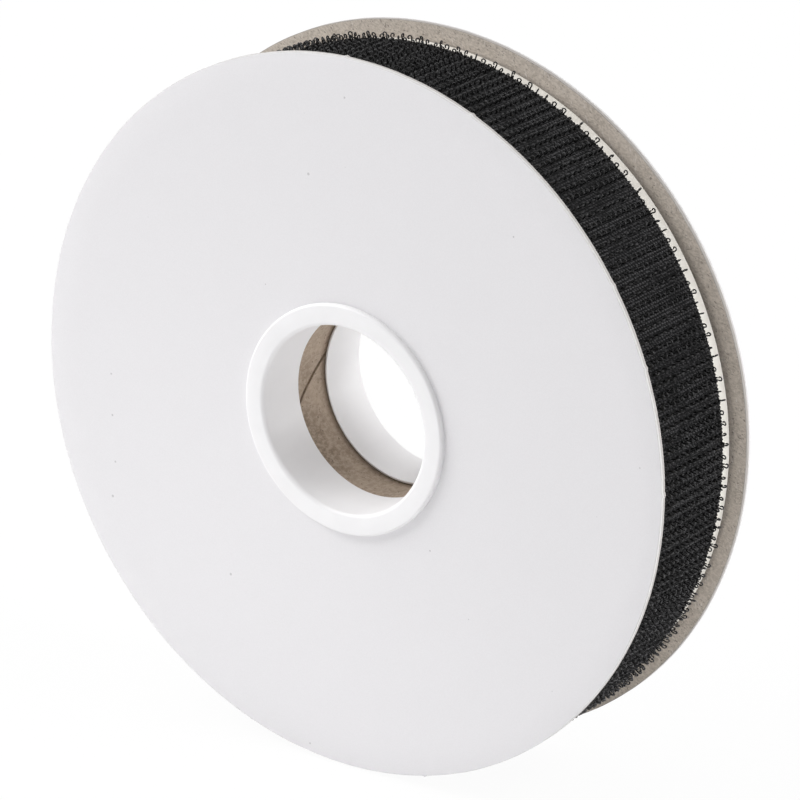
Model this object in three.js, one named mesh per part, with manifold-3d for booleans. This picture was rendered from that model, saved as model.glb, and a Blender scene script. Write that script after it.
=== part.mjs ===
// A reel of self-adhesive hook tape.
// Two board flanges sit on the ends of a spiral-wound paper core, and two moulded bushes hold them there.
// The tape is wound between the flanges on its release liner, with its hooks outwards.
// Millimetres, +Z up. The reel stands on the edges of its flanges, with its axis along Y and its front to -Y.
// The origin is on the axis, midway between the flanges.
// Angles are in degrees from +X towards +Z, and the tape is wound the way they fall, past a full turn.

import * as THREE from 'three';
import Module from 'manifold-3d';

const wasm = await Module();
wasm.setup();

// Flanges: grey board with a white facing on the outside
const FLANGE_DIAMETER = 140;
const BOARD_THICKNESS = 1.0;
const FACING_THICKNESS = 0.2;
const EDGE_ROUND = 0.3;

// Core: a paper tube whose inner ply shows its spiral seam
const CORE_WALL = 2.0;
const INNER_PLY_THICKNESS = 0.45;
const SEAM_WIDTH = 0.4;
const SEAM_SLANT = 41;
const SEAM_ANGLE_AT_MIDDLE = 183.2;

// Bushes: one moulding, used twice
const BUSH_BORE = 36.6;
const BUSH_WALL = 0.6;
const BUSH_TUBE_LENGTH = 10.0;
const RIM_OVERHANG = 3.6;
const RIM_THICKNESS = 1.1;
const RIM_ROUND = 0.5;
const MOUTH_ROUND = 0.9;
const TUBE_END_CHAMFER = 0.35;

// Tape and liner
const TAPE_WIDTH = 20;
const SELVEDGE = 1.2;
const LINER_OVERHANG = 3.0;
const LINER_TO_FLANGE = 0.3;
const LINER_THICKNESS = 0.15;
const ADHESIVE_THICKNESS = 0.2;
const GROUND_THICKNESS = 0.5;
const LINER_BELOW_FLANGE_EDGE = 3.2;

// Hooks: bent filaments in rows across the tape, every other row facing back
const HOOK_HEIGHT = 1.5;
const HOOK_CLEARANCE = 0.45;
const HOOK_FILAMENT = 0.3;
const HOOK_ROOT = 0.15;
const CROOK_RADIUS = 0.35;
const CROOK_TIP_ANGLE = -15;
const HOOK_FREE_END = 1.6;

// Winding: where the outer turn leaves the inner ones, and the free end that lifts
const OUTER_TURN_STARTS = 194;
const OUTER_TURN_LAPS = 24;
const TAPE_END_LENGTH = 38;

// Clearances
const BUSH_FIT = 0.25;
const GLUE_LINE = 0.1;
const NAP_GAP = 0.15;
const CUT_GAP = 0.3;

// Facets
const FLANGE_FACETS = 72;
const HUB_FACETS = 48;
const ROUND_STEPS = 3;
const CROOK_STEPS = 2;
const SEAM_STEPS = 10;
const TAPE_FACET = 5;
const GAP_SAMPLE = 0.1;

const DEGREE = Math.PI / 180;
const FULL_TURN = 360;

// Sizes that follow from the driving ones
const tubeRadius = BUSH_BORE / 2 + BUSH_WALL;
const coreInside = tubeRadius + BUSH_FIT;
const coreOutside = coreInside + CORE_WALL;
const linerWidth = TAPE_WIDTH + 2 * LINER_OVERHANG;
const coreLength = linerWidth + 2 * LINER_TO_FLANGE;
const innerFaceY = coreLength / 2;
const facingY = innerFaceY + BOARD_THICKNESS;
const outerFaceY = facingY + FACING_THICKNESS;
const windPitch = NAP_GAP + LINER_THICKNESS + ADHESIVE_THICKNESS + GROUND_THICKNESS + HOOK_HEIGHT;
const linerRadius = FLANGE_DIAMETER / 2 - LINER_BELOW_FLANGE_EDGE;
const cutGapAngle = CUT_GAP / linerRadius / DEGREE;
const hingeAngle = OUTER_TURN_STARTS - FULL_TURN - OUTER_TURN_LAPS;
const outerTurn = [hingeAngle + cutGapAngle / 2, OUTER_TURN_STARTS - cutGapAngle];
const freeEnd = [hingeAngle - TAPE_END_LENGTH / linerRadius / DEGREE, hingeAngle - cutGapAngle / 2];
const hookReach = 2 * CROOK_RADIUS + HOOK_FILAMENT / 2;
const hookPitch = 2 * hookReach + HOOK_CLEARANCE;

// Faces of the wound strip at an angle: each turn lies one pitch further out than the one before it
const linerOutside = (angle) => linerRadius - windPitch * angle / FULL_TURN;
const linerInside = (angle) => linerOutside(angle) - LINER_THICKNESS;
const groundInside = (angle) => linerOutside(angle) + ADHESIVE_THICKNESS;
const groundOutside = (angle) => groundInside(angle) + GROUND_THICKNESS;
const hookTips = (angle) => groundOutside(angle) + HOOK_HEIGHT;
const innerTurnsOutside = (angle) => linerInside(angle) - NAP_GAP;

// A point in the reel's plane, as its X and Z
function polar(angle, radius) {
  return [radius * Math.cos(angle * DEGREE), radius * Math.sin(angle * DEGREE)];
}

// Points on an arc, from one angle to another, ends included
function arc(centreX, centreY, radius, from, to, steps) {
  const points = [];
  for (let step = 0; step <= steps; step += 1) {
    const [x, y] = polar(from + (to - from) * step / steps, radius);
    points.push([centreX + x, centreY + y]);
  }
  return points;
}

// A ring turned from a closed profile of radius and Y, given anticlockwise
function turned(profile, facets) {
  const points = profile.map(([radius, y]) => new THREE.Vector2(radius, y));
  points.push(points[0].clone());
  return new THREE.LatheGeometry(points, facets);
}

// The same profile for the front or the rear of the reel
function onSide(side, profile) {
  const placed = profile.map(([radius, y]) => [radius, side * y]);
  return side > 0 ? placed : placed.reverse();
}

// One closed body through sections with as many points each.
// A section is an anticlockwise outline in X and Z, at its own Y.
function loft(sections) {
  const count = sections[0].outline.length;
  const position = [];
  const index = [];
  for (const { y, outline } of sections) {
    for (const [x, z] of outline) {
      position.push(x, y, z);
    }
  }
  for (let section = 0; section + 1 < sections.length; section += 1) {
    const near = section * count;
    const far = near + count;
    for (let here = 0; here < count; here += 1) {
      const next = (here + 1) % count;
      index.push(near + here, far + next, near + next);
      index.push(near + here, far + here, far + next);
    }
  }
  const cap = ({ outline }) => THREE.ShapeUtils.triangulateShape(
    outline.map(([x, z]) => new THREE.Vector2(x, z)),
    [],
  );
  const last = (sections.length - 1) * count;
  for (const [a, b, c] of cap(sections[0])) {
    index.push(a, b, c);
  }
  for (const [a, b, c] of cap(sections[sections.length - 1])) {
    index.push(last + a, last + c, last + b);
  }
  const geometry = new THREE.BufferGeometry();
  geometry.setAttribute('position', new THREE.Float32BufferAttribute(position, 3));
  geometry.setIndex(index);
  return geometry;
}

// Angles at which a wound face bends: its two ends and the facets between, which all turns share
function stations(from, to) {
  const angles = [from];
  for (let angle = (Math.floor(from / TAPE_FACET) + 1) * TAPE_FACET; angle < to; angle += TAPE_FACET) {
    angles.push(angle);
  }
  angles.push(to);
  return angles;
}

// A strip of even width wound between two faces
function woundStrip(from, to, inside, outside, width) {
  const angles = stations(from, to);
  const outer = angles.map((angle) => polar(angle, outside(angle)));
  const inner = angles.map((angle) => polar(angle, inside(angle))).reverse();
  const outline = [...outer, ...inner];
  return loft([{ y: -width / 2, outline }, { y: width / 2, outline }]);
}

// Flange board, with the slightly rolled edge that the die leaves on its outer face
function flangeBoard(side) {
  const hole = tubeRadius + BUSH_FIT;
  const rim = FLANGE_DIAMETER / 2;
  const rolledEdge = arc(rim - EDGE_ROUND, facingY - EDGE_ROUND, EDGE_ROUND, 0, 90, ROUND_STEPS);
  const profile = [[hole, innerFaceY], [rim, innerFaceY], ...rolledEdge, [hole, facingY]];
  return turned(onSide(side, profile), FLANGE_FACETS);
}

// White facing glued to the board's outer face, up to where the edge rolls over
function flangeFacing(side) {
  const hole = tubeRadius + BUSH_FIT;
  const rim = FLANGE_DIAMETER / 2 - EDGE_ROUND;
  const sheet = [[hole, facingY], [rim, facingY], [rim - FACING_THICKNESS, outerFaceY], [hole, outerFaceY]];
  return turned(onSide(side, sheet), FLANGE_FACETS);
}

// Bush: a rim that holds the flange, with a rounded mouth, and a tube that fits the core
function bush(side) {
  const bore = BUSH_BORE / 2;
  const rim = tubeRadius + RIM_OVERHANG;
  const rimFace = outerFaceY + RIM_THICKNESS;
  const tubeEnd = outerFaceY - BUSH_TUBE_LENGTH;
  const profile = [
    [bore, tubeEnd],
    [tubeRadius - TUBE_END_CHAMFER, tubeEnd],
    [tubeRadius, tubeEnd + TUBE_END_CHAMFER],
    [tubeRadius, outerFaceY],
    [rim, outerFaceY],
    ...arc(rim - RIM_ROUND, rimFace - RIM_ROUND, RIM_ROUND, 0, 90, ROUND_STEPS),
    ...arc(bore + MOUTH_ROUND, rimFace - MOUTH_ROUND, MOUTH_ROUND, 90, 180, ROUND_STEPS),
  ];
  return turned(onSide(side, profile), HUB_FACETS);
}

// Outer plies of the core
function corePlies() {
  const inside = coreInside + INNER_PLY_THICKNESS + GLUE_LINE;
  const profile = [
    [inside, -innerFaceY],
    [coreOutside, -innerFaceY],
    [coreOutside, innerFaceY],
    [inside, innerFaceY],
  ];
  return turned(profile, HUB_FACETS);
}

// Inner ply: a strip of paper wound slantwise into a tube, open along its butted seam
function coreInnerPly() {
  const outside = coreInside + INNER_PLY_THICKNESS;
  const halfSeam = SEAM_WIDTH / 2 / coreInside / DEGREE;
  const turnPerLength = Math.tan(SEAM_SLANT * DEGREE) / coreInside / DEGREE;
  const sections = [];
  for (let step = 0; step <= SEAM_STEPS; step += 1) {
    const y = coreLength * (step / SEAM_STEPS - 0.5);
    const seam = SEAM_ANGLE_AT_MIDDLE - turnPerLength * y;
    const from = seam + halfSeam;
    const to = seam + FULL_TURN - halfSeam;
    const outline = [
      ...arc(0, 0, outside, from, to, HUB_FACETS),
      ...arc(0, 0, coreInside, to, from, HUB_FACETS),
    ];
    sections.push({ y, outline });
  }
  return loft(sections);
}

// Inner turns as one plain body, with the step where the last of them goes over into the outer turn
function innerTurns() {
  const from = OUTER_TURN_STARTS - FULL_TURN;
  const rim = stations(from, OUTER_TURN_STARTS).map((angle) => polar(angle, innerTurnsOutside(angle)));
  const shape = new THREE.Shape(rim.map(([x, z]) => new THREE.Vector2(x, z)));
  const hole = new THREE.Path();
  hole.absarc(0, 0, coreOutside + GLUE_LINE, 0, 2 * Math.PI, true);
  shape.holes.push(hole);
  const geometry = new THREE.ExtrudeGeometry(shape, {
    depth: TAPE_WIDTH,
    bevelEnabled: false,
    curveSegments: HUB_FACETS / 2,
  });
  geometry.translate(0, 0, -TAPE_WIDTH / 2);
  geometry.rotateX(Math.PI / 2);
  return geometry;
}

// Outline of one hook as distances along the tape and above its ground, in order along the tape
function hookProfile(facing) {
  const half = HOOK_FILAMENT / 2;
  const crookHeight = HOOK_HEIGHT - CROOK_RADIUS - half;
  const profile = [
    [-half, -HOOK_ROOT],
    ...arc(CROOK_RADIUS, crookHeight, CROOK_RADIUS + half, 180, CROOK_TIP_ANGLE, CROOK_STEPS),
    ...arc(CROOK_RADIUS, crookHeight, CROOK_RADIUS - half, CROOK_TIP_ANGLE, 180, CROOK_STEPS),
    [half, -HOOK_ROOT],
  ];
  const placed = profile.map(([along, height]) => [facing * along, height]);
  return facing > 0 ? placed : placed.reverse();
}

// Rows of hooks on a thin web that lies inside the woven ground, clear of the tape's selvedges
function hookRows(from, to) {
  const perLength = 1 / groundOutside(from) / DEGREE;
  const first = from + HOOK_FREE_END * perLength;
  const last = to - HOOK_FREE_END * perLength;
  const rows = Math.floor((last - first) / (hookPitch * perLength));
  const outline = [];
  for (let row = 0; row <= rows; row += 1) {
    const angle = first + (last - first) * row / rows;
    const facing = row % 2 === 0 ? 1 : -1;
    for (const [along, height] of hookProfile(facing)) {
      outline.push(polar(angle + along * perLength, groundOutside(angle) + height));
    }
  }
  const web = stations(first, last).map((angle) => polar(angle, groundOutside(angle) - 2 * HOOK_ROOT));
  outline.push(...web.reverse());
  const half = TAPE_WIDTH / 2 - SELVEDGE;
  return loft([{ y: -half, outline }, { y: half, outline }]);
}

// A closed geometry as a solid that can be joined to another
function solid(geometry) {
  const mesh = new wasm.Mesh({
    numProp: 3,
    vertProperties: geometry.getAttribute('position').array,
    triVerts: new Uint32Array(geometry.getIndex().array),
  });
  return new wasm.Manifold(mesh);
}

// Hook tape: the woven ground and the hooks that stand in it, as one body
function hookTape(from, to) {
  const ground = solid(woundStrip(from, to, groundInside, groundOutside, TAPE_WIDTH));
  const joined = ground.add(solid(hookRows(from, to))).getMesh();
  const geometry = new THREE.BufferGeometry();
  geometry.setAttribute('position', new THREE.Float32BufferAttribute(joined.vertProperties, 3));
  geometry.setIndex(Array.from(joined.triVerts));
  return geometry;
}

// Least distance between the inside of a strip and its own outside one turn earlier, measured on points
function leastGapToItself(from, to, inside, outside) {
  const below = [];
  const above = [];
  for (let angle = from; angle + FULL_TURN <= to; angle += GAP_SAMPLE) {
    above.push(polar(angle, inside(angle)));
    below.push(polar(angle + FULL_TURN, outside(angle + FULL_TURN)));
  }
  let least = Infinity;
  for (const [x, z] of below) {
    for (const [aboveX, aboveZ] of above) {
      least = Math.min(least, Math.hypot(aboveX - x, aboveZ - z));
    }
  }
  return least;
}

// Finishes
const FINISHES = {
  board: { color: 0x8f857c, roughness: 0.9 },
  facing: { color: 0xe4e2e4, roughness: 0.7 },
  plastic: { color: 0xf0f0f0, roughness: 0.4 },
  kraft: { color: 0x97806a, roughness: 0.9 },
  tape: { color: 0x18181a, roughness: 0.6 },
  liner: { color: 0xe0dacd, roughness: 0.6 },
};

// The reel, piece by piece
const reel = new THREE.Group();

function add(name, geometry, finish) {
  const material = new THREE.MeshStandardMaterial({ ...FINISHES[finish], metalness: 0 });
  const mesh = new THREE.Mesh(geometry, material);
  mesh.name = name;
  reel.add(mesh);
}

const linerStrip = (from, to) => woundStrip(from, to, linerInside, linerOutside, linerWidth);

for (const [name, side] of [['front', -1], ['rear', 1]]) {
  add(`${name}_flange`, flangeBoard(side), 'board');
  add(`${name}_facing`, flangeFacing(side), 'facing');
  add(`${name}_bush`, bush(side), 'plastic');
}
add('core_tube', corePlies(), 'kraft');
add('core_inner_ply', coreInnerPly(), 'kraft');
add('inner_turns', innerTurns(), 'tape');
add('release_liner', linerStrip(...outerTurn), 'liner');
add('liner_end', linerStrip(...freeEnd), 'liner');
add('hook_tape', hookTape(...outerTurn), 'tape');
add('tape_end', hookTape(...freeEnd), 'tape');

const tapeGap = leastGapToItself(...outerTurn, groundInside, hookTips);
const linerGap = leastGapToItself(...outerTurn, linerInside, linerOutside);
const woundLength = Math.PI * (linerOutside(0) ** 2 - coreOutside ** 2) / windPitch;
const [hingeX, hingeZ] = polar(hingeAngle, groundOutside(hingeAngle));
console.log(`least gap of the hook tape to itself: ${tapeGap.toFixed(2)} mm`);
console.log(`least gap of the release liner to itself: ${linerGap.toFixed(2)} mm`);
console.log(`tape that the wound turns hold: ${(woundLength / 1000).toFixed(1)} m`);
console.log(`the free end bends about X ${hingeX.toFixed(3)}, Z ${hingeZ.toFixed(3)}`);

export default reel;
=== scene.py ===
"""Looks of a reel of hook tape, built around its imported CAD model.

Sizes are in millimetres and angles in degrees. new_piece() turns millimetres into Blender's metres.
The floor's size, the lamps and the camera's range are in metres. Colours are linear red, green and blue.
The reel's axis is Y, with its front to -Y. Angles run from +X towards +Z, and the tape is wound the way
they fall.
"""

import bpy
import numpy as np
from mathutils import Matrix, Vector


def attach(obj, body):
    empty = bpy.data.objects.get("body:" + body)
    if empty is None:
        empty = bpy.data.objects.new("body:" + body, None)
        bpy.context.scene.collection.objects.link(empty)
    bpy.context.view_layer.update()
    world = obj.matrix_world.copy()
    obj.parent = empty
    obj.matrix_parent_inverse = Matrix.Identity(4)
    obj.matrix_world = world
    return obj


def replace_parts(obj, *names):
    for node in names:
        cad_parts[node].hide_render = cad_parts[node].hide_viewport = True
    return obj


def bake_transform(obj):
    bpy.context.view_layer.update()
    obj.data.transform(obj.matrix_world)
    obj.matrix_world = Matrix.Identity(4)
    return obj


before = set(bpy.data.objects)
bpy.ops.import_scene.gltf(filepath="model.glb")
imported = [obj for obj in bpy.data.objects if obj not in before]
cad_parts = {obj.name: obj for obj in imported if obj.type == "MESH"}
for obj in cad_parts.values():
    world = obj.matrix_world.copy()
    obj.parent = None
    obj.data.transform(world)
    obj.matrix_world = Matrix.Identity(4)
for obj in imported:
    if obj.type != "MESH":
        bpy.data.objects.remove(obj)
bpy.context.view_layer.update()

MM = 0.001
FULL_TURN = 360.0

# Flanges: the rear one is a little smaller, sits a little low and bows outwards on one side
FLANGE_RADIUS = 70.0
REAR_FLANGE_RADIUS = 69.8
REAR_FLANGE_DROP = 0.2
REAR_FLANGE_BOW = 1.0
BOW_ANGLE = 20.0
FLANGE_INSIDE = 13.3
BOARD_THICKNESS = 1.0
FACING_THICKNESS = 0.2
BOARD_OUTSIDE = FLANGE_INSIDE + BOARD_THICKNESS
FLANGE_OUTSIDE = BOARD_OUTSIDE + FACING_THICKNESS
EDGE_ROUND = 0.3
FACING_WRAP = 0.12
FLANGE_HOLE = 19.15

# Burrs that the die left on the front flange's edge: angle and how far each stands out
EDGE_BURRS = [
    (90.0, 0.3),
    (66.5, 0.25),
    (33.0, 0.2),
    (20.0, 0.22),
    (0.5, 0.25),
    (201.0, 0.2),
    (285.0, 0.22),
]
BURR_WIDTH = 0.36

# Bushes: a rim outside the flange and a tube in the core
BUSH_BORE = 18.3
BUSH_TUBE = 18.9
BUSH_TUBE_LENGTH = 10.0
RIM_RADIUS = 22.5
RIM_THICKNESS = 1.1
RIM_ROUND = 0.5
MOUTH_ROUND = 0.9
TUBE_END_CHAMFER = 0.35

# Core's inner ply
PLY_INSIDE = 19.15
PLY_THICKNESS = 0.45
SEAM_WIDTH = 1.0
SEAM_SLANT = 41.0
SEAM_ANGLE_AT_MIDDLE = 183.2

# Tape and liner, wound from the core outwards: heights are above the liner's outer face
CORE_RADIUS = 21.15
CORE_GLUE = 0.3
TAPE_WIDTH = 20.0
SELVEDGE = 0.55
LINER_WIDTH = 26.0
LINER_THICKNESS = 0.15
GROUND_BELOW = 0.2
GROUND_ABOVE = 0.7
NAP_HEIGHT = 1.5
LINER_RADIUS = 66.8
WIND_PITCH = 2.5

# Angles along the tape: where it starts on the core, where its outer turn starts, and its free end
INNERMOST = (LINER_RADIUS - CORE_RADIUS - CORE_GLUE) / WIND_PITCH * FULL_TURN
OUTER_TURN_STARTS = 194.0
HINGE_ANGLE = -190.0
TAPE_END_LENGTH = 38.0
ROOT_BEFORE_HINGE = 5.0
HALF_BEND = 3.5
FREE_END_STOPS = HINGE_ANGLE - np.degrees(TAPE_END_LENGTH / LINER_RADIUS)
FREE_END_ROOT = HINGE_ANGLE + ROOT_BEFORE_HINGE
BEND_STARTS = HINGE_ANGLE + HALF_BEND
BEND_ENDS = HINGE_ANGLE - HALF_BEND

# Rows of hooks and the ribs of the ground that they stand in
ROW_PITCH = 2.06
ROW_TURN = np.degrees(ROW_PITCH / (LINER_RADIUS + GROUND_ABOVE))
RIBS_PER_ROW = 3
RIB_DEPTH = 0.2
COLUMN_PITCH = 1.575
ROWS_ALIKE = 2
FACINGS = (-10.0, 88.0)
ROW_MARGIN = 0.6
HOOK_PIECES = 4

# One hook
FILAMENT = 0.28
CROOK_RADIUS = 0.36
CROOK_STARTS = 195.0
CROOK_STOPS = -60.0
HOOK_ROOT = 0.15
FOOT_SPREAD = 0.12
STUB_HEIGHT = 0.4
STUB_LEAN = 0.14


# Points and faces

SHARP_EDGE = 35.0


def polar(angle, radius, y):
    """Points at angles about the reel's axis."""
    turn = np.radians(angle)
    x, y, z = np.broadcast_arrays(radius * np.cos(turn), y, radius * np.sin(turn))
    return np.stack([x, y, z], axis=-1)


def arc(centre, size, start, stop, steps):
    """A rounded stretch of a profile, ends included."""
    turn = np.radians(np.linspace(start, stop, steps + 1))
    return [(centre[0] + size * c, centre[1] + size * s) for c, s in zip(np.cos(turn), np.sin(turn))]


def steps_between(first, last, count):
    """Points on a straight stretch of a profile, without its ends."""
    first, last = np.array(first), np.array(last)
    return [tuple(first + (last - first) * step / count) for step in range(1, count)]


def on_side(side, profile):
    """The same profile for the front, -1, or the rear, 1."""
    placed = [(radius, side * y) for radius, y in profile]
    return placed if side > 0 else placed[::-1]


def grid_faces(rows, columns, full_turn):
    """Faces between rows of points, where each row is a closed outline, anticlockwise in radius and Y."""
    index = np.arange(rows * columns).reshape(rows, columns)
    near = index if full_turn else index[:-1]
    far = np.roll(index, -1, axis=0)[: len(near)]
    corners = [near, np.roll(near, -1, axis=1), np.roll(far, -1, axis=1), far]
    return np.stack(corners, axis=-1).reshape(-1, 4)


def end_caps(rows, columns):
    """Faces that close the first and the last row of points."""
    last = (rows - 1) * columns
    return [list(range(columns))[::-1], list(range(last, last + columns))]


def new_piece(name, points, faces, materials, body=None, caps=(), sharp=SHARP_EDGE):
    """A mesh object from points in millimetres, with its materials, riding on a body."""
    mesh = bpy.data.meshes.new(name)
    mesh.from_pydata((np.reshape(points, (-1, 3)) * MM).tolist(), [], faces.tolist() + list(caps))
    for material in materials:
        mesh.materials.append(material)
    mesh.shade_smooth()
    mesh.set_sharp_from_angle(angle=np.radians(sharp))
    piece = bpy.data.objects.new(name, mesh)
    bpy.context.scene.collection.objects.link(piece)
    if body:
        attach(piece, body)
    return piece


def give_map(piece, along, across):
    """A map of the tape's surface in millimetres, along it and across it."""
    spread = np.stack([along.ravel(), across.ravel()], axis=-1)
    corners = np.empty(len(piece.data.loops), np.int32)
    piece.data.loops.foreach_get("vertex_index", corners)
    piece.data.uv_layers.new(name="tape").data.foreach_set("uv", spread[corners].ravel())


# Material nodes

# A wave texture's period at a scale of 1
WAVE_UNIT = np.pi / 10

# Where a mix node has its two colour inputs and its colour result, among sockets that share their names
MIX_INPUTS = (6, 7)
MIX_RESULT = 2


class Look:
    """A material with one principled shader and short calls for its nodes."""

    def __init__(self, name, roughness, specular):
        self.material = bpy.data.materials.new(name)
        self.material.use_nodes = True
        self.tree = self.material.node_tree
        self.shader = self.tree.nodes["Principled BSDF"]
        self.shader.inputs["Roughness"].default_value = roughness
        self.shader.inputs["Specular IOR Level"].default_value = specular

    def node(self, kind, **settings):
        """A new node with some of its properties set."""
        made = self.tree.nodes.new(kind)
        for name, value in settings.items():
            setattr(made, name, value)
        return made

    def link(self, source, target):
        """Joins an output to an input."""
        self.tree.links.new(source, target)

    def placed(self, vector, stretch, turn=(0, 0, 0)):
        """A vector turned and then stretched."""
        mapping = self.node("ShaderNodeMapping", vector_type="TEXTURE")
        mapping.inputs["Rotation"].default_value = np.radians(turn)
        mapping.inputs["Scale"].default_value = 1 / np.array(stretch)
        self.link(vector, mapping.inputs["Vector"])
        return mapping.outputs["Vector"]

    def millimetres(self, stretch=(1, 1, 1), turn=(0, 0, 0)):
        """Object coordinates in millimetres, turned and then stretched."""
        place = self.node("ShaderNodeTexCoord").outputs["Object"]
        return self.placed(place, np.array(stretch) / MM, turn)

    def tape_map(self):
        """The map that give_map() makes."""
        return self.node("ShaderNodeUVMap", uv_map="tape").outputs["UV"]

    def noise(self, vector, scale, detail=3.0, roughness=0.5):
        """Soft noise about 0.5."""
        made = self.node("ShaderNodeTexNoise")
        made.inputs["Scale"].default_value = scale
        made.inputs["Detail"].default_value = detail
        made.inputs["Roughness"].default_value = roughness
        self.link(vector, made.inputs["Vector"])
        return made.outputs["Fac"]

    def spread(self, value, low, high, to_low=0.0, to_high=1.0):
        """A value spread from one range onto another, and held at its ends."""
        made = self.node("ShaderNodeMapRange", interpolation_type="SMOOTHSTEP")
        limits = {"From Min": low, "From Max": high, "To Min": to_low, "To Max": to_high}
        for name, number in limits.items():
            made.inputs[name].default_value = number
        self.link(value, made.inputs["Value"])
        return made.outputs["Result"]

    def math(self, operation, first, second):
        """A value worked out from two others, each a number or a socket."""
        made = self.node("ShaderNodeMath", operation=operation)
        for socket, value in zip(made.inputs, (first, second)):
            if isinstance(value, (int, float)):
                socket.default_value = value
            else:
                self.link(value, socket)
        return made.outputs["Value"]

    def blend(self, factor, first, second):
        """A colour between two, each a colour or a socket."""
        made = self.node("ShaderNodeMix", data_type="RGBA")
        self.link(factor, made.inputs["Factor"])
        for place, value in zip(MIX_INPUTS, (first, second)):
            if isinstance(value, tuple):
                made.inputs[place].default_value = (*value, 1.0)
            else:
                self.link(value, made.inputs[place])
        return made.outputs[MIX_RESULT]

    def tint(self, base, colour, mask, share):
        """A base turned towards a colour, by a share of a mask."""
        return self.blend(self.math("MULTIPLY", mask, share), base, colour)

    def colour(self, socket):
        """The shader's colour."""
        self.link(socket, self.shader.inputs["Base Color"])

    def roughness(self, socket):
        """The shader's roughness, where it varies."""
        self.link(socket, self.shader.inputs["Roughness"])

    def bump(self, height, depth, strength):
        """Relief of a depth in millimetres."""
        made = self.node("ShaderNodeBump")
        made.inputs["Strength"].default_value = strength
        made.inputs["Distance"].default_value = depth * MM
        self.link(height, made.inputs["Height"])
        self.link(made.outputs["Normal"], self.shader.inputs["Normal"])

    def wave(self, vector, direction, period, phase=0.0, uneven=0.6):
        """Uneven bands of a period, dark at zero unless a phase moves them."""
        made = self.node("ShaderNodeTexWave", bands_direction=direction)
        made.inputs["Scale"].default_value = WAVE_UNIT / period
        made.inputs["Distortion"].default_value = uneven
        made.inputs["Detail"].default_value = 1.0
        made.inputs["Phase Offset"].default_value = phase
        self.link(vector, made.inputs["Vector"])
        return made.outputs["Fac"]

    def flecks(self, vector, scale, low, high):
        """Sparse marks where a noise is high."""
        return self.spread(self.noise(vector, scale, detail=2.0), low, high)

    def specks(self, size, spacing, share):
        """Round specks on a face square to the reel's axis, in a share of cells of a spacing."""
        place = self.node("ShaderNodeSeparateXYZ")
        self.link(self.millimetres(), place.inputs["Vector"])
        flat = self.node("ShaderNodeCombineXYZ")
        self.link(place.outputs["X"], flat.inputs["X"])
        self.link(place.outputs["Z"], flat.inputs["Y"])
        cells = self.node("ShaderNodeTexVoronoi", voronoi_dimensions="2D")
        cells.inputs["Scale"].default_value = 1 / spacing
        self.link(flat.outputs["Vector"], cells.inputs["Vector"])
        draw = self.node("ShaderNodeSeparateColor")
        self.link(cells.outputs["Color"], draw.inputs["Color"])
        chosen = self.math("LESS_THAN", draw.outputs["Red"], share)
        radius = self.math("MULTIPLY", draw.outputs["Green"], size / spacing)
        inside = self.math("LESS_THAN", cells.outputs["Distance"], radius)
        return self.math("MULTIPLY", chosen, inside)


# Materials: where a surface varies between two tones, they stand as a pair, the darker one first

FACING_WHITES = (0.772, 0.761, 0.778), (0.792, 0.781, 0.798)
FACING_SPECK = (0.4, 0.39, 0.4)
BOARD_BROWNS = (0.42, 0.37, 0.32), (0.53, 0.47, 0.412)
BOARD_GRAIN = (0.68, 0.613, 0.545)
BOARD_PIT = (0.2, 0.17, 0.15)
BOARD_SCRATCH = (0.74, 0.69, 0.65)
FRONT_EDGE_GREYS = (0.48, 0.46, 0.445), (0.55, 0.53, 0.515)
# The rear flange's cut edge is the same board as the front's, painted darker as painted shade
REAR_EDGE_SHADED_GREYS = (0.39, 0.365, 0.345), (0.46, 0.435, 0.415)
# The facing's wrapped edge is painted greyer than the facing, as painted shade that dims the light it
# catches
FACING_EDGE_SHADED_GREYS = (0.68, 0.67, 0.67), (0.73, 0.72, 0.72)
EDGE_CRUSH = (0.52, 0.49, 0.47)
PLASTIC_WHITES = (0.85, 0.843, 0.853), (0.875, 0.868, 0.878)
KRAFT_BROWNS = (0.26, 0.199, 0.147), (0.43, 0.344, 0.268)
KRAFT_GRAIN = (0.54, 0.443, 0.352)
KRAFT_FIBRE = (0.2, 0.145, 0.105)
KRAFT_DOT = (0.1, 0.07, 0.05)
GROUND_BLACKS = (0.004, 0.004, 0.0042), (0.012, 0.0119, 0.0123)
# The ground's pale yarn grey is a painted highlight
GROUND_HIGHLIGHT = (0.088, 0.087, 0.09)
# The hooks' pale tone is painted light, given where hooks() marks it
HOOK_TONES = (0.007, 0.007, 0.0072), (0.14, 0.138, 0.142)
LINER_CREAMS = (0.79, 0.765, 0.71), (0.84, 0.82, 0.77)
LINER_FIBRE = (0.87, 0.85, 0.81)

# The woven ground's dashes and flecks of yarn, which are painted highlights, and the patches in which the
# dashes come and go
DASH_PITCH = 0.7
DASH_SLANT = 25.0
FLECK_STRETCH = (3.4, 1.2, 1.0)
FLECK_SLANT = 17.0
FLECK_SHARE = 0.8
PATCH_STRETCH = (0.12, 0.1, 1.0)


def facing_paper():
    """Matt white lining paper with a fine tooth and a few faint grey specks."""
    look = Look("facing_paper", roughness=0.7, specular=0.3)
    tooth = look.noise(look.millimetres(), scale=3.5, detail=4.0, roughness=0.6)
    white = look.blend(look.spread(tooth, 0.3, 0.7), *FACING_WHITES)
    specks = look.specks(size=0.28, spacing=9.3, share=0.12)
    look.colour(look.tint(white, FACING_SPECK, specks, share=0.55))
    look.bump(tooth, depth=0.02, strength=0.35)
    return look.material


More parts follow.
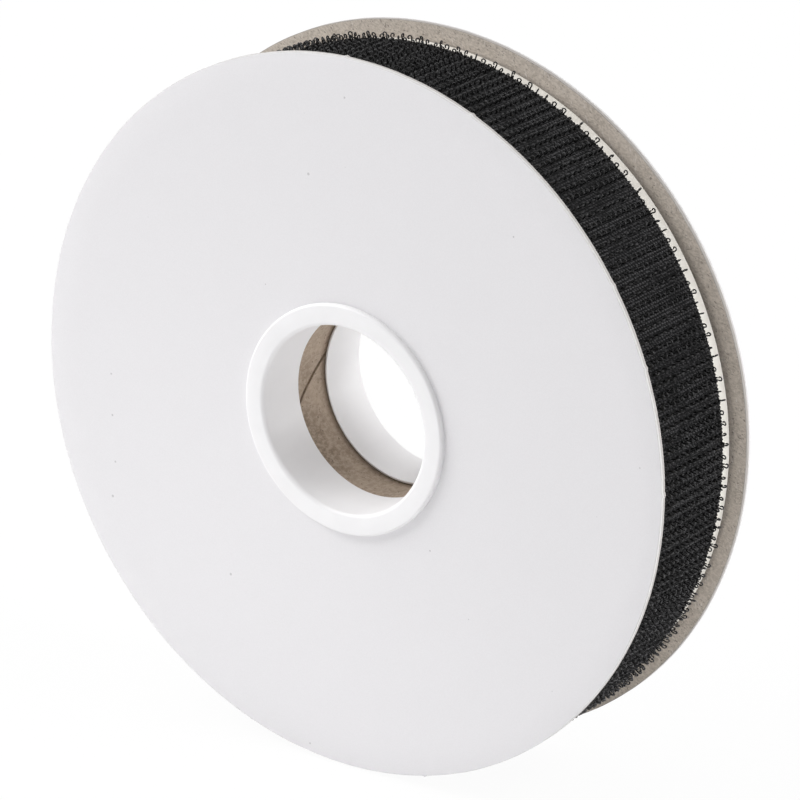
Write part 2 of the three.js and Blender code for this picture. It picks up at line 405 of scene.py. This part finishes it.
def chipboard():
    """Grey-brown recycled board: fine grain, dark pits and short pale scratches."""
    look = Look("chipboard", roughness=0.88, specular=0.2)
    mottle = look.noise(look.millimetres(), scale=0.3, detail=6.0, roughness=0.65)
    grain = look.noise(look.millimetres((1, 1, 1.8), (0, 20, 0)), scale=1.5, detail=5.0, roughness=0.7)
    pits = look.flecks(look.millimetres((1.2, 1, 2.2), (0, 33, 0)), scale=1.3, low=0.62, high=0.7)
    scratches = look.flecks(look.millimetres((3.4, 1, 0.7), (0, -14, 0)), scale=0.9, low=0.64, high=0.72)
    board = look.blend(look.spread(mottle, 0.3, 0.7), *BOARD_BROWNS)
    board = look.tint(board, BOARD_GRAIN, look.spread(grain, 0.38, 0.62), share=0.8)
    board = look.tint(board, BOARD_PIT, pits, share=0.75)
    look.colour(look.tint(board, BOARD_SCRATCH, scratches, share=0.8))
    look.bump(grain, depth=0.05, strength=0.6)
    return look.material


def cut_edge(name, greys):
    """A die-cut edge of board or paper, in fine plies."""
    look = Look(name, roughness=0.9, specular=0.2)
    plies = look.noise(look.millimetres((0.25, 9.0, 0.25)), scale=1.0)
    crush = look.noise(look.millimetres(), scale=1.6, detail=4.0, roughness=0.65)
    edge = look.blend(look.spread(plies, 0.35, 0.65), *greys)
    look.colour(look.tint(edge, EDGE_CRUSH, look.spread(crush, 0.5, 0.75), share=0.5))
    look.bump(plies, depth=0.05, strength=0.6)
    return look.material


def satin_plastic():
    """White moulded plastic with a soft gloss that varies a little."""
    look = Look("satin_plastic", roughness=0.4, specular=0.5)
    flow = look.noise(look.millimetres((1, 0.35, 1)), scale=0.16)
    fine = look.noise(look.millimetres(), scale=5.0, detail=2.0)
    look.colour(look.blend(look.spread(flow, 0.3, 0.7), *PLASTIC_WHITES))
    look.roughness(look.spread(flow, 0.3, 0.7, to_low=0.36, to_high=0.46))
    look.bump(fine, depth=0.01, strength=0.25)
    return look.material


def kraft_paper():
    """Brown kraft ply with clouds of tone, a soft grain, fibres and dark dots."""
    look = Look("kraft_paper", roughness=0.82, specular=0.25)
    clouds = look.noise(look.millimetres(turn=(0, 60, 0)), scale=0.06, detail=5.0, roughness=0.6)
    grain = look.noise(look.millimetres((1, 0.6, 1)), scale=1.5, detail=4.0, roughness=0.6)
    fibre = look.flecks(look.millimetres((0.8, 4.0, 0.8), (25, 0, 10)), scale=1.4, low=0.58, high=0.7)
    dots = look.flecks(look.millimetres(), scale=1.7, low=0.66, high=0.72)
    brown = look.blend(look.spread(clouds, 0.35, 0.65), *KRAFT_BROWNS)
    brown = look.tint(brown, KRAFT_GRAIN, look.spread(grain, 0.38, 0.64), share=0.6)
    brown = look.tint(brown, KRAFT_FIBRE, fibre, share=0.45)
    look.colour(look.tint(brown, KRAFT_DOT, dots, share=0.7))
    look.bump(grain, depth=0.03, strength=0.5)
    return look.material


def woven_ground():
    """Black nylon ground with painted highlights on its yarns: pale dashes on the crests of its ribs and
    slanted flecks, dimmed by painted shade along the rows of hooks.
    """
    look = Look("woven_ground", roughness=0.5, specular=0.06)
    place = look.tape_map()
    slanted = look.placed(place, (1, 1, 1), (0, 0, -DASH_SLANT))
    crest = look.wave(place, "X", ROW_PITCH / RIBS_PER_ROW, phase=np.pi, uneven=1.0)
    # Painted shade dims the painted highlights along each row of hooks
    shade_at_hooks = look.spread(look.wave(place, "X", ROW_PITCH), 0.0, 0.7, to_low=0.4)
    dash = look.spread(look.wave(slanted, "Y", DASH_PITCH, uneven=3.5), 0.3, 0.7)
    patches = look.noise(look.placed(place, PATCH_STRETCH), scale=1.0)
    relief = look.math("MULTIPLY", crest, dash)
    regular = look.math("MULTIPLY", relief, look.spread(patches, 0.4, 0.6, to_low=0.3, to_high=1.2))
    regular = look.math("MULTIPLY", regular, shade_at_hooks)
    tilted = look.placed(place, FLECK_STRETCH, (0, 0, FLECK_SLANT))
    fleck = look.flecks(tilted, scale=1.0, low=0.52, high=0.68)
    bright = look.math("MAXIMUM", regular, look.math("MULTIPLY", fleck, FLECK_SHARE))
    fine = look.noise(place, scale=2.6, detail=2.0)
    black = look.blend(look.spread(fine, 0.4, 0.65), *GROUND_BLACKS)
    # The yarn's dashes and flecks are painted highlights in pale grey over the black
    look.colour(look.blend(bright, black, GROUND_HIGHLIGHT))
    look.bump(relief, depth=0.12, strength=0.8)
    return look.material


def hook_nylon():
    """Black monofilament, painted paler and duller, unevenly, where hooks() marks painted light."""
    look = Look("hook_nylon", roughness=0.36, specular=0.15)
    uneven = look.spread(look.noise(look.millimetres(), scale=1.6, detail=2.0), 0.38, 0.62, to_low=0.15)
    painted_light_mark = look.node("ShaderNodeAttribute", attribute_name="painted_light").outputs["Fac"]
    painted_light_share = look.math("MULTIPLY", painted_light_mark, uneven)
    # The pale tone is painted light: a painted highlight on crowns and painted light on the combed stretch
    look.colour(look.blend(painted_light_share, *HOOK_TONES))
    look.roughness(look.spread(painted_light_share, 0.0, 1.0, to_low=0.3, to_high=0.5))
    return look.material


def liner_paper():
    """Cream siliconised release paper, slightly glossy."""
    look = Look("liner_paper", roughness=0.5, specular=0.4)
    cloud = look.noise(look.millimetres(), scale=0.5, detail=4.0)
    fibre = look.noise(look.millimetres((1, 4, 1)), scale=1.3)
    cream = look.blend(look.spread(cloud, 0.3, 0.7), *LINER_CREAMS)
    look.colour(look.tint(cream, LINER_FIBRE, look.spread(fibre, 0.5, 0.7), share=0.25))
    look.bump(fibre, depth=0.02, strength=0.4)
    return look.material


facing_look = facing_paper()
board_look = chipboard()
front_edge_look = cut_edge("front_board_edge", FRONT_EDGE_GREYS)
# The rear flange's edge is painted darker, as painted shade
rear_edge_look = cut_edge("rear_board_edge", REAR_EDGE_SHADED_GREYS)
# The facing's edge is painted greyer, as painted shade
facing_edge_look = cut_edge("facing_edge", FACING_EDGE_SHADED_GREYS)
plastic_look = satin_plastic()
kraft_look = kraft_paper()
ground_look = woven_ground()
hook_look = hook_nylon()
liner_look = liner_paper()


# Flanges

FLANGE_SEGMENTS = 1440
FLANGE_RINGS = 10
EDGE_STEPS = 4
PRESSED_STEPS = 2

# The die-cut edge: how many waves run round it, how far they stand out and how far in they reach
EDGE_WAVES = (3, 7, 16, 41, 97)
EDGE_WANDER = 0.05
EDGE_ZONE = 1.2

# The board's pressed inner corner, and how far in the look of its cut edge starts
INNER_ROUND = 0.12
CUT_BAND = 1.5 * INNER_ROUND


def edge_shape(angle, edge, burrs, seed):
    """How far a die-cut edge stands out from a true circle."""
    draw = np.random.default_rng(seed)
    stands_out = np.zeros_like(angle)
    for waves in EDGE_WAVES:
        phase = draw.uniform(0, 2 * np.pi)
        stands_out += EDGE_WANDER / np.sqrt(waves) * np.cos(waves * np.radians(angle) + phase)
    for place, height in burrs:
        away = (angle - place + FULL_TURN / 2) % FULL_TURN - FULL_TURN / 2
        stands_out += height * np.exp(-((np.radians(away) * edge / BURR_WIDTH) ** 2))
    return stands_out


def flange_disc(profile, side, edge, drop, bow, burrs, seed):
    """A disc turned from a profile, with a die-cut edge that wanders, and bowed outside the bush's rim."""
    angle = np.linspace(0, FULL_TURN, FLANGE_SEGMENTS, endpoint=False)
    radius, y = np.array(on_side(side, profile)).T
    towards_bow = np.clip(np.cos(np.radians(angle - BOW_ANGLE)), 0, 1)[:, None]
    reach = np.clip((radius - RIM_RADIUS) / (edge - RIM_RADIUS), 0, 1)
    y = y + side * bow * (towards_bow * reach) ** 2
    near_edge = np.clip((radius - edge + EDGE_ROUND) / EDGE_ZONE + 1, 0, 1)
    radius = radius + edge_shape(angle, edge, burrs, seed)[:, None] * near_edge
    points = polar(angle[:, None], radius, y)
    points[..., 2] -= drop
    return points, grid_faces(*points.shape[:2], full_turn=True)


def mark_cut_edge(piece, points, faces, drop, from_radius):
    """Gives a piece's second material to its faces beyond a radius."""
    centre = points.reshape(-1, 3)[faces].mean(axis=1)
    cut = np.hypot(centre[:, 0], centre[:, 2] + drop) > from_radius
    piece.data.polygons.foreach_set("material_index", cut.astype(np.int32))


def flange(name, side, edge, edge_look, seed, drop=0.0, bow=0.0, burrs=()):
    """One flange: its board and its white facing, each with its own look on the cut edge."""
    hole_inside = (FLANGE_HOLE, FLANGE_INSIDE)
    hole_middle = (FLANGE_HOLE, BOARD_OUTSIDE)
    hole_outside = (FLANGE_HOLE, FLANGE_OUTSIDE)
    inner_face = [hole_inside, *steps_between(hole_inside, (edge, FLANGE_INSIDE), FLANGE_RINGS)]
    pressed = arc((edge - INNER_ROUND, FLANGE_INSIDE + INNER_ROUND), INNER_ROUND, -90, 0, PRESSED_STEPS)
    rolled = arc((edge - EDGE_ROUND, BOARD_OUTSIDE - EDGE_ROUND), EDGE_ROUND, 0, 90, EDGE_STEPS)
    glued_face = [*steps_between(rolled[-1], hole_middle, FLANGE_RINGS), hole_middle]
    wrap = arc((edge - FACING_WRAP, FLANGE_OUTSIDE - FACING_WRAP), FACING_WRAP, 0, 90, EDGE_STEPS)
    outer_face = [*steps_between(wrap[-1], hole_outside, FLANGE_RINGS), hole_outside]

    board_profile = [*inner_face, *pressed, *rolled, *glued_face]
    points, faces = flange_disc(board_profile, side, edge, drop, bow, burrs, seed)
    board = new_piece(f"{name}_board", points, faces, [board_look, edge_look], "reel")
    mark_cut_edge(board, points, faces, drop, edge - CUT_BAND)
    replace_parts(board, f"{name}_flange")

    facing_profile = [*glued_face[::-1], *rolled[::-1], *wrap, *outer_face]
    points, faces = flange_disc(facing_profile, side, edge, drop, bow, burrs, seed)
    looks = [facing_look, facing_edge_look]
    facing = new_piece(f"{name}_lining", points, faces, looks, "reel")
    mark_cut_edge(facing, points, faces, drop, edge - FACING_WRAP)
    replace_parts(facing, f"{name}_facing")


flange("front", -1, FLANGE_RADIUS, front_edge_look, seed=3, burrs=EDGE_BURRS)
flange("rear", 1, REAR_FLANGE_RADIUS, rear_edge_look, seed=5, drop=REAR_FLANGE_DROP, bow=REAR_FLANGE_BOW)


# Hub

HUB_SEGMENTS = 192
ROUND_STEPS = 8
PLY_STEPS = 40


def bush(name, side):
    """A bush with a rounded rim and mouth and a tube in the core."""
    rim_face = FLANGE_OUTSIDE + RIM_THICKNESS
    tube_end = FLANGE_OUTSIDE - BUSH_TUBE_LENGTH
    profile = [
        (BUSH_BORE, tube_end),
        (BUSH_TUBE - TUBE_END_CHAMFER, tube_end),
        (BUSH_TUBE, tube_end + TUBE_END_CHAMFER),
        (BUSH_TUBE, FLANGE_OUTSIDE),
        (RIM_RADIUS, FLANGE_OUTSIDE),
        *arc((RIM_RADIUS - RIM_ROUND, rim_face - RIM_ROUND), RIM_ROUND, 0, 90, ROUND_STEPS),
        *arc((BUSH_BORE + MOUTH_ROUND, rim_face - MOUTH_ROUND), MOUTH_ROUND, 90, 180, ROUND_STEPS),
    ]
    angle = np.linspace(0, FULL_TURN, HUB_SEGMENTS, endpoint=False)
    radius, y = np.array(on_side(side, profile)).T
    points = polar(angle[:, None], radius, y)
    faces = grid_faces(*points.shape[:2], full_turn=True)
    piece = new_piece(f"{name}_hub_bush", points, faces, [plastic_look], "reel")
    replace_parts(piece, f"{name}_bush")


def inner_ply():
    """The core's inner ply, wound slantwise and open along its butted seam."""
    half_seam = np.degrees(SEAM_WIDTH / 2 / PLY_INSIDE)
    turn_per_length = np.degrees(np.tan(np.radians(SEAM_SLANT)) / PLY_INSIDE)
    y = np.linspace(-FLANGE_INSIDE, FLANGE_INSIDE, PLY_STEPS + 1)
    share = np.linspace(0, 1, HUB_SEGMENTS + 1)[:, None]
    seam = SEAM_ANGLE_AT_MIDDLE - turn_per_length * y
    angle = seam + half_seam + share * (FULL_TURN - 2 * half_seam)
    inside = polar(angle, PLY_INSIDE, y)
    outside = polar(angle, PLY_INSIDE + PLY_THICKNESS, y)
    points = np.concatenate([inside[:, ::-1], outside], axis=1)
    faces = grid_faces(*points.shape[:2], full_turn=False)
    caps = end_caps(*points.shape[:2])
    piece = new_piece("core_kraft_ply", points, faces, [kraft_look], "reel", caps)
    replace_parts(piece, "core_inner_ply")


bush("front", -1)
bush("rear", 1)
inner_ply()

# The core's outer plies keep their CAD mesh
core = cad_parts["core_tube"]
core.data.materials.clear()
core.data.materials.append(kraft_look)


# Wound strips

STRIP_STEP = 1.0
STRIP_COLUMNS = 6
RIB_STEPS = 6
EDGE_SOFTNESS = 0.12
EDGE_ARC = 4

# Inner turns are hardly seen, so they are coarser
INNER_FINENESS = {"columns": 2, "step": 5.0}


def liner_outside(angle):
    """Radius of the liner's outer face: each turn lies one pitch further out than the one before it."""
    return LINER_RADIUS - WIND_PITCH * angle / FULL_TURN


def strip_section(below, above, width, columns):
    """Outline of a strip with softened edges, as heights and places across it."""
    middle, half = (above + below) / 2, (above - below) / 2
    soft = min(EDGE_SOFTNESS, half)
    flat = width / 2 - soft
    turn = np.radians(np.linspace(-90, 90, EDGE_ARC + 1))
    rear_edge = [(middle + half * np.sin(t), flat + soft * np.cos(t)) for t in turn]
    front_edge = [(middle - half * np.sin(t), -flat - soft * np.cos(t)) for t in turn]
    top = steps_between((above, flat), (above, -flat), columns)
    bottom = steps_between((below, -flat), (below, flat), columns)
    outline = [*rear_edge, *top, *front_edge, *bottom]
    return np.array(outline[::-1]).T


def wound_strip(name, ends, heights, width, look, slot, body=None, ribs=0.0, columns=STRIP_COLUMNS,
                step=STRIP_STEP):
    """A strip wound between two angles and two heights, with ribs across its upper face."""
    start, stop = ends
    below, above = heights
    angle = np.linspace(start, stop, int(np.ceil((stop - start) / step)) + 1)[:, None]
    height, y = strip_section(below, above, width, columns)
    upper = (height - below) / (above - below)
    rows_from_hinge = (angle - HINGE_ANGLE) / ROW_TURN
    hollow = 0.5 - 0.5 * np.cos(2 * np.pi * RIBS_PER_ROW * rows_from_hinge)
    points = polar(angle, liner_outside(angle) + height - ribs * hollow * upper, y)
    faces = grid_faces(*points.shape[:2], full_turn=False)
    piece = new_piece(name, points, faces, [look], body, end_caps(*points.shape[:2]))
    along = np.broadcast_to(rows_from_hinge * ROW_PITCH, points.shape[:2])
    give_map(piece, along, points[..., 1])
    return piece


def ground_strip(name, ends, body=None):
    """The tape's woven ground, in ribs."""
    heights = (GROUND_BELOW, GROUND_ABOVE)
    step = ROW_TURN / RIBS_PER_ROW / RIB_STEPS
    return wound_strip(name, ends, heights, TAPE_WIDTH, ground_look, "hook_tape", body, RIB_DEPTH, step=step)


def napped_strip(name, ends, body):
    """Inner turns of tape, whose hooks are one plain nap because the turns above hide them."""
    heights = (GROUND_BELOW, GROUND_ABOVE + NAP_HEIGHT)
    return wound_strip(name, ends, heights, TAPE_WIDTH, ground_look, "hook_tape", body, **INNER_FINENESS)


def liner_strip(name, ends, body=None, **fineness):
    """The release liner under the tape."""
    heights = (-LINER_THICKNESS, 0.0)
    return wound_strip(name, ends, heights, LINER_WIDTH, liner_look, "release_liner", body, **fineness)


bend_start = polar(BEND_STARTS, liner_outside(BEND_STARTS), 0.0) * MM
bend_end = polar(BEND_ENDS, liner_outside(BEND_ENDS), 0.0) * MM


def bends(piece):
    """The piece with its placement baked into its points."""
    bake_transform(piece)
    return piece


inner_turns = (OUTER_TURN_STARTS, INNERMOST)
outer_turn = (FREE_END_ROOT, OUTER_TURN_STARTS)
free_end = (FREE_END_STOPS, FREE_END_ROOT)
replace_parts(napped_strip("wound_tape", inner_turns, "reel"), "inner_turns")
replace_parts(liner_strip("wound_liner", inner_turns, "reel", **INNER_FINENESS), "inner_turns")
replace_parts(ground_strip("tape_ground", outer_turn, "reel"), "hook_tape")
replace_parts(liner_strip("liner_turn", outer_turn, "reel"), "release_liner")
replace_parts(bends(ground_strip("tape_end_ground", free_end)), "tape_end")
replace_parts(bends(liner_strip("liner_end_strip", free_end)), "liner_end")


# Hooks

FILAMENT_SIDES = 6
CROOK_STEPS = 9
STEM_STEPS = 2
HOOK_SHARP_EDGE = 60.0
TOLERANCE = 0.001

# How far hooks stand out of line
LEAN = 0.08
TWIST = 14.0
PLACE_JITTER = 0.06
ROW_DRIFT = 0.2
DRIFT_RADIANS_PER_ROW = 2.4
SHORTEST_HOOK = 0.9

# Over a stretch of the roll the hooks are combed over, and there they are painted paler as painted light;
# everywhere, crowns are painted paler than stems, a painted highlight over painted shade
COMBED_AND_LIT_ANGLES = (-130.0, -80.0, -35.0, 0.0)
COMBED_AND_LIT_SHARES = (0.0, 1.0, 1.0, 0.0)
COMBED_LEAN = 0.38
HIGHLIGHT_STARTS = 0.35
LEAST_PAINTED_LIGHT = 0.3
STEM_PAINTED_LIGHT = 0.55


def filament(path):
    """Points and faces of a filament along a path in its own plane, as along, height and across."""
    path = np.array(path)
    ahead = np.gradient(path, axis=0)
    ahead /= np.linalg.norm(ahead, axis=1, keepdims=True)
    turn = np.linspace(0, 2 * np.pi, FILAMENT_SIDES, endpoint=False)
    ring = FILAMENT / 2 * np.cos(turn)
    points = np.empty((len(path), FILAMENT_SIDES, 3))
    points[..., 0] = path[:, :1] - ahead[:, 1:] * ring
    points[..., 1] = path[:, 1:] + ahead[:, :1] * ring
    points[..., 2] = FILAMENT / 2 * np.sin(turn)
    faces = grid_faces(len(path), FILAMENT_SIDES, full_turn=False)
    # Two four-sided faces close each end of the six-sided filament
    first = np.array([[0, 5, 4, 3], [0, 3, 2, 1]])
    last = np.array([[0, 1, 2, 3], [0, 3, 4, 5]]) + (len(path) - 1) * FILAMENT_SIDES
    return points.reshape(-1, 3), np.concatenate([faces, first, last])


def hook_shape():
    """One hook: a stem and a crook that curls under to its cut end, beside the stub that it was cut from."""
    middle = (0.0, NAP_HEIGHT - CROOK_RADIUS - FILAMENT / 2)
    crook = arc(middle, CROOK_RADIUS, CROOK_STARTS, CROOK_STOPS, CROOK_STEPS)
    foot = (-FOOT_SPREAD, -HOOK_ROOT)
    hook, hook_faces = filament([foot, *steps_between(foot, crook[0], STEM_STEPS), *crook])
    stub, stub_faces = filament([(FOOT_SPREAD, -HOOK_ROOT), (FOOT_SPREAD + STUB_LEAN, STUB_HEIGHT)])
    return np.concatenate([hook, stub]), np.concatenate([hook_faces, stub_faces + len(hook)])


def rows_between(start, stop):
    """Numbers of the rows of hooks between two angles, counted from the hinge and clear of cut ends."""
    margin = ROW_MARGIN / ROW_PITCH
    first = np.ceil((start - HINGE_ANGLE) / ROW_TURN + margin)
    last = np.floor((stop - HINGE_ANGLE) / ROW_TURN - margin)
    return np.arange(first, last + 1)


def hook_places(rows):
    """Angle, Y and facing of every hook: every other row is shifted, rows drift, and pairs face alike."""
    half = TAPE_WIDTH / 2 - SELVEDGE
    places = []
    for row in rows:
        shift = COLUMN_PITCH / 2 * (row % 2)
        drift = ROW_DRIFT * np.sin(DRIFT_RADIANS_PER_ROW * row)
        facing = FACINGS[int(row // ROWS_ALIKE) % len(FACINGS)]
        # The tolerance keeps a last hook that stands right on the selvedge's line
        for y in np.arange(-half + shift, half + TOLERANCE, COLUMN_PITCH):
            places.append((HINGE_ANGLE + row * ROW_TURN, y + drift, facing))
    return np.array(places)


def hooks(name, rows, seed, body=None):
    """The hooks of some rows, each a little out of line, with a mark of how much painted light each point
    has.
    """
    shape, shape_faces = hook_shape()
    angle, y, facing = hook_places(rows).T
    count = len(angle)
    combed_and_lit = np.interp(angle, COMBED_AND_LIT_ANGLES, COMBED_AND_LIT_SHARES)[:, None]
    draw = np.random.default_rng(seed)
    tall = draw.uniform(SHORTEST_HOOK, 1.0, (count, 1))
    lean_along, lean_across = draw.normal(0, LEAN, (2, count, 1))
    lean_along = lean_along + COMBED_LEAN * combed_and_lit
    shift_along, shift_across = draw.normal(0, PLACE_JITTER, (2, count, 1))
    turn = np.radians(facing + draw.normal(0, TWIST, count))[:, None]

    height = shape[:, 1] * tall
    along = shape[:, 0] * np.cos(turn) - shape[:, 2] * np.sin(turn) + lean_along * height + shift_along
    across = shape[:, 0] * np.sin(turn) + shape[:, 2] * np.cos(turn) + lean_across * height + shift_across
    angle = angle[:, None]
    foot = polar(angle, liner_outside(angle) + GROUND_ABOVE, y[:, None])
    out = polar(angle, 1.0, 0.0)
    ahead = polar(angle + FULL_TURN / 4, 1.0, 0.0)
    aside = np.array([0.0, 1.0, 0.0])
    points = foot + along[..., None] * ahead + height[..., None] * out + across[..., None] * aside
    faces = (shape_faces + (np.arange(count) * len(shape))[:, None, None]).reshape(-1, 4)
    piece = new_piece(name, points, faces, [hook_look], body, sharp=HOOK_SHARP_EDGE)

    # Painted light: crowns get a painted highlight and stems stay dark as painted shade, and on the combed
    # stretch whole hooks are painted paler
    crown = np.clip((shape[:, 1] / NAP_HEIGHT - HIGHLIGHT_STARTS) / (1 - HIGHLIGHT_STARTS), 0, 1)
    painted_light = np.maximum(crown, STEM_PAINTED_LIGHT * combed_and_lit) * (LEAST_PAINTED_LIGHT + (1 - LEAST_PAINTED_LIGHT) * combed_and_lit)
    piece.data.attributes.new("painted_light", "FLOAT", "POINT").data.foreach_set("value", painted_light.ravel())
    return piece


outer_rows = np.array_split(rows_between(*outer_turn), HOOK_PIECES)
for number, rows in enumerate(outer_rows):
    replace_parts(hooks(f"hooks_{number + 1}", rows, number, "reel"), "hook_tape")
end_hooks = hooks("hooks_end", rows_between(*free_end), HOOK_PIECES)
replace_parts(bends(end_hooks), "tape_end")


# Camera: its turn and rise, and how far it stands from the centre of the front flange's face

CAMERA_TURN = 35.675
CAMERA_RISE = 20.501
CAMERA_DISTANCE = 1068.46
CAMERA_ASIDE = -10.141
CAMERA_BELOW = 3.583
FOCAL_PIXELS = 5762.28
PICTURE_WIDTH = 800
SENSOR = 36.0
SEES_FROM = 0.05
SEES_TO = 50.0


def place_camera():
    """The camera of the photograph, set from how it sees the centre of the front flange's face."""
    turn, rise = np.radians([CAMERA_TURN, CAMERA_RISE])
    right = np.array([np.cos(turn), np.sin(turn), 0.0])
    up = np.array([-np.sin(turn) * np.sin(rise), np.cos(turn) * np.sin(rise), np.cos(rise)])
    ahead = np.array([-np.sin(turn) * np.cos(rise), np.cos(turn) * np.cos(rise), -np.sin(rise)])
    face = np.array([0.0, -FLANGE_OUTSIDE, 0.0])
    place = face - CAMERA_ASIDE * right + CAMERA_BELOW * up - CAMERA_DISTANCE * ahead
    lens = bpy.data.cameras.new("camera")
    lens.sensor_width = SENSOR
    lens.lens = FOCAL_PIXELS / PICTURE_WIDTH * SENSOR
    lens.clip_start = SEES_FROM
    lens.clip_end = SEES_TO
    camera = bpy.data.objects.new("camera", lens)
    bpy.context.scene.collection.objects.link(camera)
    axes = Matrix(np.array([right, up, -ahead]).T).to_4x4()
    camera.matrix_world = Matrix.Translation(Vector(place * MM)) @ axes
    bpy.context.scene.camera = camera


place_camera()


# Floor and light

FLOOR_SIZE = 4.0
FLOOR_GAP = 0.3
FLOOR_COLOUR = (0.92, 0.92, 0.92, 1.0)
FLOOR_ROUGHNESS = 0.9
FLOOR_WHITE = 0.96
WORLD_LIGHT = 0.38
WHITE = (1.0, 1.0, 1.0, 1.0)


def seen_directly(tree):
    """1 for what the camera, a reflection or glass sees, and 0 for light on the object."""
    path = tree.nodes.new("ShaderNodeLightPath")
    seen = path.outputs["Is Camera Ray"]
    for name in ("Is Glossy Ray", "Is Transmission Ray"):
        either = tree.nodes.new("ShaderNodeMath")
        either.operation = "MAXIMUM"
        tree.links.new(seen, either.inputs[0])
        tree.links.new(path.outputs[name], either.inputs[1])
        seen = either.outputs["Value"]
    return seen


def mix_shaders(tree, share, first, second, target):
    """Gives a target the second shader by a share, and the first one for the rest."""
    mixed = tree.nodes.new("ShaderNodeMixShader")
    for source, socket in zip((share, first, second), mixed.inputs):
        tree.links.new(source, socket)
    tree.links.new(mixed.outputs["Shader"], target)


def light_world():
    """Even light from all round, with a white background where it is seen."""
    world = bpy.data.worlds.new("studio")
    world.use_nodes = True
    tree = world.node_tree
    lit = tree.nodes["Background"]
    lit.inputs["Color"].default_value = WHITE
    lit.inputs["Strength"].default_value = WORLD_LIGHT
    white = tree.nodes.new("ShaderNodeBackground")
    white.inputs["Color"].default_value = WHITE
    surface = tree.nodes["World Output"].inputs["Surface"]
    mix_shaders(tree, seen_directly(tree), lit.outputs[0], white.outputs[0], surface)
    bpy.context.scene.world = world


def floor_look():
    """A pale matt floor that looks almost white, with a faint shadow."""
    material = bpy.data.materials.new("floor")
    material.use_nodes = True
    tree = material.node_tree
    shader = tree.nodes["Principled BSDF"]
    shader.inputs["Base Color"].default_value = FLOOR_COLOUR
    shader.inputs["Roughness"].default_value = FLOOR_ROUGHNESS
    glow = tree.nodes.new("ShaderNodeEmission")
    share = tree.nodes.new("ShaderNodeMath")
    share.operation = "MULTIPLY"
    share.inputs[1].default_value = FLOOR_WHITE
    tree.links.new(seen_directly(tree), share.inputs[0])
    surface = tree.nodes["Material Output"].inputs["Surface"]
    mix_shaders(tree, share.outputs["Value"], shader.outputs[0], glow.outputs[0], surface)
    return material


def lay_floor():
    """A floor just under the reel."""
    mesh = bpy.data.meshes.new("floor")
    half = FLOOR_SIZE / 2
    low = -(FLANGE_RADIUS + FLOOR_GAP) * MM
    corners = [(-half, -half, low), (half, -half, low), (half, half, low), (-half, half, low)]
    mesh.from_pydata(corners, [], [(0, 1, 2, 3)])
    mesh.materials.append(floor_look())
    floor = bpy.data.objects.new("floor", mesh)
    bpy.context.scene.collection.objects.link(floor)


def lamp(name, place, size, power):
    """A square lamp aimed at the reel's middle, and not seen itself."""
    light = bpy.data.lights.new(name, "AREA")
    light.size = size
    light.energy = power
    holder = bpy.data.objects.new(name, light)
    bpy.context.scene.collection.objects.link(holder)
    holder.visible_camera = False
    holder.location = place
    holder.rotation_euler = (-Vector(place)).to_track_quat("-Z", "Y").to_euler()


light_world()
lay_floor()
lamp("key", place=(-1.2, -1.0, 1.8), size=1.4, power=26.0)
lamp("left", place=(-0.9, -0.25, 0.6), size=0.6, power=4.9)
lamp("bounce", place=(-0.05, -0.13, -0.05), size=0.03, power=0.012)
lamp("right", place=(0.9, 0.12, 0.02), size=0.3, power=1.9)
lamp("right_top", place=(0.7, 0.13, 0.75), size=0.3, power=2.6)
lamp("right_behind", place=(0.5, 0.45, -0.02), size=0.3, power=1.2)
lamp("behind", place=(-0.3, 0.8, 0.6), size=0.5, power=1.3)

bpy.context.scene.view_settings.view_transform = "Standard"
